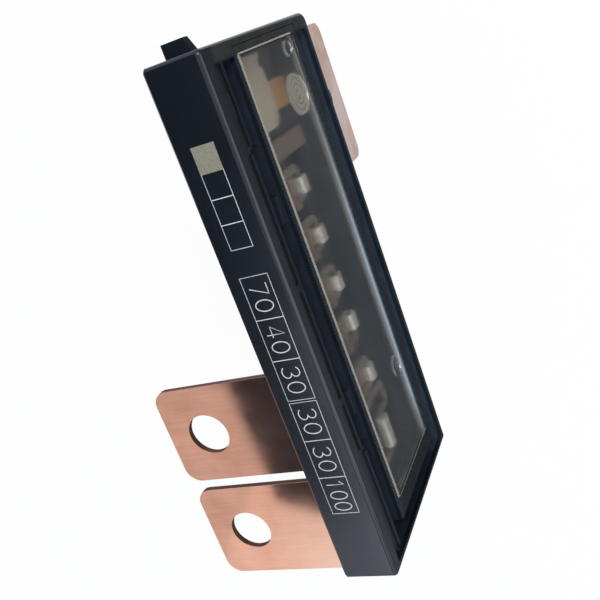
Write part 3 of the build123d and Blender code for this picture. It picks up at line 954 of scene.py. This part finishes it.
@dataclass
class PrintedMarks:
    """The marking on the edge face: six rated cells in two groups, and a row of four small cells."""

    groups: tuple[tuple[float, tuple[str, ...]], ...] = (
        (36.3, ("70", "40", "30")), (60.75, ("30", "30", "100")))
    cell: Pair = (7.98, 5.35)
    row_back: float = 2.72
    small_cells: int = 4
    small_start: float = 13.6
    small_cell: Pair = (4.42, 4.2)
    small_back: float = 3.28
    line: float = 0.15
    film: float = 0.03
    inner_film_share: float = 0.8
    patch_film_share: float = 1.3
    patch_corner: float = 0.15
    digit_height: float = 3.35
    stroke: float = 0.21
    digit_width: float = 0.62
    spacing: float = 0.27
    long_number_width: float = 0.82

    def cell_row(self, title: str, cells: int, cell: Pair, corner: Vector) -> Mesh:
        """Draws a row of equal cells by their outlines.

        Args:
            title: Name of the tree.
            cells: Number of cells.
            cell: Length and height of one cell in millimetres.
            corner: Corner of the row nearest the feed end and the back, in metres.

        Returns:
            The row's mesh.
        """
        made = TreeBuilder(title, Finishes.PRINT, {
            "Cells": (NUMBER, cells),
            "Cell Length": (LENGTH, cell[0] * MM),
            "Cell Height": (LENGTH, cell[1] * MM),
            "Line Width": (LENGTH, self.line * MM),
            "Film": (LENGTH, self.film * MM),
            "Corner": (VECTOR, tuple(corner)),
        })
        take, tree = made.inputs, made.tree
        whole = combine(tree, "MULTIPLY", take["Cells"], take["Cell Length"])
        outline, profile = (made.add("GeometryNodeCurvePrimitiveQuadrilateral",
                                     values={"Width": width, "Height": take[height]})
                            for width, height in ((whole, "Cell Height"), (take["Line Width"], "Film")))
        border = made.add("GeometryNodeCurveToMesh", values={"Curve": outline, "Profile Curve": profile})
        diagonal = made.add("ShaderNodeCombineXYZ", values={"X": whole, "Y": take["Cell Height"]})
        half = made.add("ShaderNodeVectorMath", {"operation": "SCALE"}, {0: diagonal, "Scale": 0.5})
        middle = made.add("ShaderNodeVectorMath", {"operation": "ADD"}, {0: take["Corner"], 1: half})
        border = made.add("GeometryNodeTransform", values={"Geometry": border, "Translation": middle})
        pitch = made.add("ShaderNodeCombineXYZ", values={"X": take["Cell Length"]})
        half_height = combine(tree, "MULTIPLY", take["Cell Height"], 0.5)
        first = made.add("ShaderNodeCombineXYZ", values={"X": take["Cell Length"], "Y": half_height})
        start = made.add("ShaderNodeVectorMath", {"operation": "ADD"}, {0: take["Corner"], 1: first})
        places = made.add("GeometryNodeMeshLine", values={
            "Count": combine(tree, "SUBTRACT", take["Cells"], 1.0), "Start Location": start, "Offset": pitch})
        bar_size = made.add("ShaderNodeCombineXYZ", values={
            "X": take["Line Width"],
            "Y": combine(tree, "SUBTRACT", take["Cell Height"], take["Line Width"]),
            "Z": combine(tree, "MULTIPLY", take["Film"], self.inner_film_share),
        })
        bar = made.add("GeometryNodeMeshCube", values={"Size": bar_size})
        bars = made.add("GeometryNodeInstanceOnPoints", values={"Points": places, "Instance": bar})
        both = tree.nodes.new("GeometryNodeJoinGeometry")
        for part in (bars, border):
            tree.links.new(part, both.inputs[0])
        return made.bake(both.outputs[0])

    def number(self, text: str, along: float) -> Mesh:
        """Draws one rating in the middle of its cell, in strokes of even width.

        Args:
            text: The rating in amperes.
            along: Middle of the cell in millimetres.

        Returns:
            The thin mesh of the digits.
        """
        squeeze = self.long_number_width if len(text) > 2 else 1.0
        step = (self.digit_width + self.spacing) * self.digit_height * squeeze
        total = len(text) * step - self.spacing * self.digit_height * squeeze
        curve = bpy.data.curves.new("rating_" + text, "CURVE")
        curve.dimensions = "3D"
        curve.bevel_depth = self.stroke / 2 * MM
        curve.bevel_resolution = 1
        curve.use_fill_caps = True
        for place, digit in enumerate(text):
            points = DIGITS[digit]
            closed = digit == "0"
            line = points[:-1] if closed else points
            spline = curve.splines.new("POLY")
            spline.points.add(len(line) - 1)
            spline.use_cyclic_u = closed
            for point, (x, y) in zip(spline.points, line):
                across = place * step + x * self.digit_height * squeeze - total / 2
                point.co = (across * MM, (y - 0.5) * self.digit_height * MM, 0.0, 1.0)
        mesh = baked(bpy.data.objects.new(curve.name, curve))
        middle = LAYOUT.spot(along, self.row_back + self.cell[1] / 2, 0.0)
        flat = Matrix.Diagonal((1.0, 1.0, self.film / self.stroke, 1.0))
        mesh.transform(Matrix.Translation(middle) @ flat)
        return mesh

    def build(self) -> None:
        """Builds the lines, the digits and the filled first cell of the small row."""
        rows, digits = [], []
        for group, (start, ratings) in enumerate(self.groups):
            corner = LAYOUT.spot(start, self.row_back, 0.0)
            rows.append(self.cell_row(f"rating_cells_{group}", len(ratings), self.cell, corner))
            for place, rating in enumerate(ratings):
                digits.append(self.number(rating, start + (place + 0.5) * self.cell[0]))
        corner = LAYOUT.spot(self.small_start, self.small_back, 0.0)
        rows.append(self.cell_row("small_cells", self.small_cells, self.small_cell, corner))
        solid_from("printed_frames", joined(rows, "printed_frames"), Finishes.PRINT)
        solid_from("printed_ratings", joined(digits, "printed_ratings"), Finishes.PRINT)
        self.filled_cell()

    def filled_cell(self) -> None:
        """Fills the first small cell, its lines included."""
        low = LAYOUT.spot(self.small_start, self.small_back, 0.0)
        sides = (side + self.line for side in self.small_cell)
        size = Vector((*sides, self.film * self.patch_film_share)) * MM
        middle = low + Vector((*self.small_cell, 0.0)) / 2 * MM
        work = bmesh.new()
        bmesh.ops.create_cube(work, size=1.0)
        shape = Matrix.Translation(middle) @ Matrix.Diagonal((*size, 1.0))
        bmesh.ops.transform(work, matrix=shape, verts=work.verts)
        upright = [e for e in work.edges if abs(e.verts[0].co.z - e.verts[1].co.z) > self.film * MM / 2]
        bmesh.ops.bevel(work, geom=upright, offset=self.patch_corner * MM, segments=3, affect="EDGES")
        solid_from("printed_patch", mesh_from(work, "printed_patch"), Finishes.PATCH)


@dataclass
class WeldMarks:
    """Small raised rings where the links are spot welded to the rail, the blades and the last tab's sheet."""

    radius: float = 0.42
    bead: float = 0.07
    loops: int = 5
    rail_inset: float = 0.95
    blade_inset: float = 0.85

    def build(self) -> None:
        """Builds the rings of the loops and of the wide link."""
        first, half = LAYOUT.first_loop_along, LAYOUT.loop_half_span
        on_rail = LAYOUT.rail_lap_down + self.rail_inset
        on_blade = LAYOUT.blade_front_down + self.blade_inset
        wide = LAYOUT.wide_legs_along
        runs = (("rail_welds", self.loops, LAYOUT.loop_pitch, first - half, on_rail),
                ("blade_welds", self.loops, LAYOUT.loop_pitch, first + half, on_blade),
                ("wide_welds", len(wide), wide[1] - wide[0], wide[0], on_rail))
        for name, count, pitch, along, down in runs:
            start = LAYOUT.spot(along, LAYOUT.link_front_out, down)
            steps = (Vector((pitch, 0, 0)) * MM, Vector())
            mesh = ring_rows(name, (count, 1), steps, start, (self.radius, self.bead), Finishes.LINK)
            solid_from(name, mesh, Finishes.LINK)


@dataclass
class EjectorPrints:
    """Faint rings that the ejector pins left on the plain back of the housing."""

    count: tuple[int, int] = (4, 2)
    radius: float = 1.6
    bead: float = 0.05
    inset: Pair = (12.0, 7.0)

    def build(self) -> None:
        """Builds the rows of rings between the insets from the edges."""
        along_step = (LAYOUT.length - 2 * self.inset[0]) / (self.count[0] - 1)
        down_step = (LAYOUT.width - 2 * self.inset[1]) / (self.count[1] - 1)
        steps = (Vector((along_step, 0, 0)) * MM, Vector((0, 0, -down_step)) * MM)
        start = LAYOUT.spot(self.inset[0], 0.0, self.inset[1])
        mesh = ring_rows("ejector_prints", self.count, steps, start, (self.radius, self.bead), Finishes.HOUSING)
        solid_from("ejector_prints", mesh, Finishes.HOUSING)


@dataclass
class PackedPieces:
    """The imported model's own nodes, dressed by how their names start."""

    starts: tuple[tuple[str, Finishes], ...] = (
        ("housing", Finishes.HOUSING), ("cover", Finishes.COVER), ("window", Finishes.PANE),
        ("supply", Finishes.SHEET), ("output_terminal", Finishes.SHEET), ("output_blade", Finishes.BLADE),
        ("fuse_link", Finishes.LINK), ("tin", Finishes.TIN))

    def build(self) -> None:
        """Gives every node its finish."""
        for name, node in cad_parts.items():
            finish = next(finish for start, finish in self.starts if name.startswith(start))
            node.data.materials.clear()
            node.data.materials.append(finish.value.material())
            log.info("%s: dressed", name)


@dataclass(frozen=True)
class Softbox:
    """One soft lamp: its place and its two sides in metres, its power in watts and its colour.

    A level one faces straight down, and the others face the part.
    """

    name: str
    place: Triple
    size: Pair
    power: float
    level: bool = False
    tint: str = "#ffffff"

    def build(self) -> None:
        """Hangs the lamp."""
        data = bpy.data.lights.new(self.name, "AREA")
        data.shape = "RECTANGLE"
        data.size, data.size_y = self.size
        data.energy = self.power
        data.color = linear(self.tint)[:3]
        lamp = bpy.data.objects.new(self.name, data)
        lamp.location = self.place
        if not self.level:
            lamp.rotation_euler = (-Vector(self.place)).to_track_quat("-Z", "Y").to_euler()
        bpy.context.scene.collection.objects.link(lamp)


@dataclass
class Studio:
    """White table, soft lamps and the camera where the photograph was taken from.

    The camera's place is in millimetres, and everything else in metres.
    """

    camera_place: Triple = (-64.269, 86.652, 112.478)
    camera_right: Triple = (0.33458, 0.88043, -0.33601)
    camera_up: Triple = (-0.88946, 0.17724, -0.42124)
    camera_back: Triple = (-0.31132, 0.43980, 0.84241)
    lens: float = 48.36
    sensor: float = 36.0
    clip_start: float = 0.005
    table_half: float = 3.0
    table_gap: float = 0.0002
    sky_strength: float = 0.6
    sky_tint: str = "#eaf2ff"
    lamps: tuple[Softbox, ...] = (
        Softbox("key_softbox", (-0.40, 0.32, 0.48), (0.35, 0.35), 2.6),
        Softbox("fill_softbox", (0.15, 0.60, 0.25), (0.5, 0.5), 1.0),
        Softbox("ridge_softbox", (0.19, 0.24, 0.36), (0.34, 0.12), 0.215),
        Softbox("end_softbox", (0.275, -0.17, 0.25), (0.13, 0.13), 0.017, False, "#f2f7ff"),
        Softbox("edge_strip", (0.17, -0.085, 0.25), (0.2, 0.036), 0.05, True, "#e9f1ff"),
    )
    flag_height: float = 0.25
    flag_outline: tuple[Pair, ...] = (
        (-0.35, -0.50), (0.085, -0.50), (0.100, -0.185), (0.112, -0.167), (0.170, -0.165), (0.195, -0.166),
        (0.207, -0.140), (0.202, -0.106), (0.07, -0.103), (0.03, -0.101), (-0.02, -0.08), (-0.35, -0.08))

    def build(self) -> None:
        """Builds the table, the flag, the lamps, the sky and the camera."""
        self.table()
        self.flag()
        for lamp in self.lamps:
            lamp.build()
        self.sky()
        self.camera()

    def table(self) -> None:
        """Lays a large sheet of paper under the lowest point of the part."""
        low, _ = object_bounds()
        work = bmesh.new()
        bmesh.ops.create_grid(work, x_segments=1, y_segments=1, size=self.table_half)
        bmesh.ops.translate(work, vec=(0, 0, low[2] - self.table_gap), verts=work.verts)
        table = placed("table", mesh_from(work, "table"), Finishes.TABLE)
        table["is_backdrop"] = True

    def flag(self) -> None:
        """Hangs a black cloth over the part, outside the view, that darkens what the flat faces mirror."""
        work = bmesh.new()
        work.faces.new([work.verts.new((x, y, self.flag_height)) for x, y in self.flag_outline])
        flag = placed("flag", mesh_from(work, "flag"), Finishes.FLAG)
        flag.visible_camera = False
        flag.visible_shadow = False
        flag.visible_diffuse = False
        flag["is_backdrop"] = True

    def sky(self) -> None:
        """Even soft light from all round, white where the camera looks past the table."""
        world = bpy.data.worlds.new("soft_sky")
        world.use_nodes = True
        tree = world.node_tree
        tree.nodes.clear()
        path = add_node(tree, "ShaderNodeLightPath").outputs
        rays = (path[f"Is {kind} Ray"] for kind in ("Camera", "Glossy", "Transmission"))
        light = add_node(tree, "ShaderNodeBackground", values={
            "Color": blend(tree, path["Is Camera Ray"], self.sky_tint, "#ffffff"),
            "Strength": spread(tree, combine(tree, "MAXIMUM", *rays), self.sky_strength, 1.0, 0.0, 1.0),
        }).outputs[0]
        add_node(tree, "ShaderNodeOutputWorld", values={"Surface": light})
        bpy.context.scene.world = world

    def camera(self) -> None:
        """Sets the camera that was fitted to the photograph's edges."""
        data = bpy.data.cameras.new("photo_camera")
        data.lens = self.lens
        data.sensor_fit = "HORIZONTAL"
        data.sensor_width = self.sensor
        data.clip_start = self.clip_start
        camera = bpy.data.objects.new("photo_camera", data)
        turn = Matrix((self.camera_right, self.camera_up, self.camera_back)).transposed().to_4x4()
        camera.matrix_world = Matrix.Translation(Vector(self.camera_place) * MM) @ turn
        bpy.context.scene.collection.objects.link(camera)
        bpy.context.scene.camera = camera


def main() -> None:
    """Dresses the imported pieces, adds the marks and sets up the studio."""
    logging.basicConfig(level=logging.INFO, format="%(name)s: %(message)s")
    for assembly in (PackedPieces(), PrintedMarks(), WeldMarks(), EjectorPrints(), Studio()):
        assembly.build()
        log.info("%s is in place", type(assembly).__name__)
    bpy.context.scene.view_settings.view_transform = "Standard"


if __name__ == "__main__":
    main()
